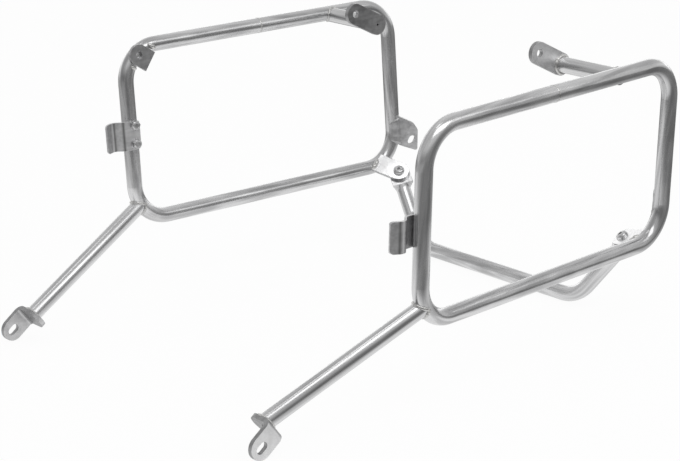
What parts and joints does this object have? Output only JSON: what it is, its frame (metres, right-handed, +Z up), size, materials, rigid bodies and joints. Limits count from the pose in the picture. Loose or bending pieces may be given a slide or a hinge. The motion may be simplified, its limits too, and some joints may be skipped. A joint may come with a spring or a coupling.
{
  "type": "pannier frame",
  "caption": "Motorbike pannier frame of bent stainless tube: rounded side hoops that carry cases, mounting arms with drilled tabs, latch clips and a bolted cross tube at the back.",
  "frame": {"origin": "Middle of the frame's outline on the ground that it stands on: level with the underside of the cross tube and the tips of the forward tabs", "axes": "+X forward along the bike, +Y to the left of the bike, +Z up"},
  "size_m": [0.6164, 0.53, 0.3285],
  "materials": {
    "tube": "polished",
    "plate": "satin",
    "sheet": "brushed",
    "fastener": "machined"
  },
  "bodies": {
    "root": {"hoop_left": "tube", "hoop_right": "tube", "forward_arm_left": "tube", "forward_arm_right": "tube", "forward_tab_left": "plate", "forward_tab_right": "plate", "inward_arm_left": "tube", "inward_arm_right": "tube", "inward_plate_left": "plate", "inward_plate_right": "plate", "corner_tab_right": "plate", "latch_clip_left": "sheet", "latch_clip_right": "sheet", "clip_bolts": "fastener", "clip_washers": "fastener", "rear_tab_left": "plate", "rear_tab_right": "plate", "cross_tab_left": "plate", "cross_tab_right": "plate", "cross_tube": "tube", "cross_screws": "fastener", "cross_nuts": "fastener"}
  },
  "joints": []
}
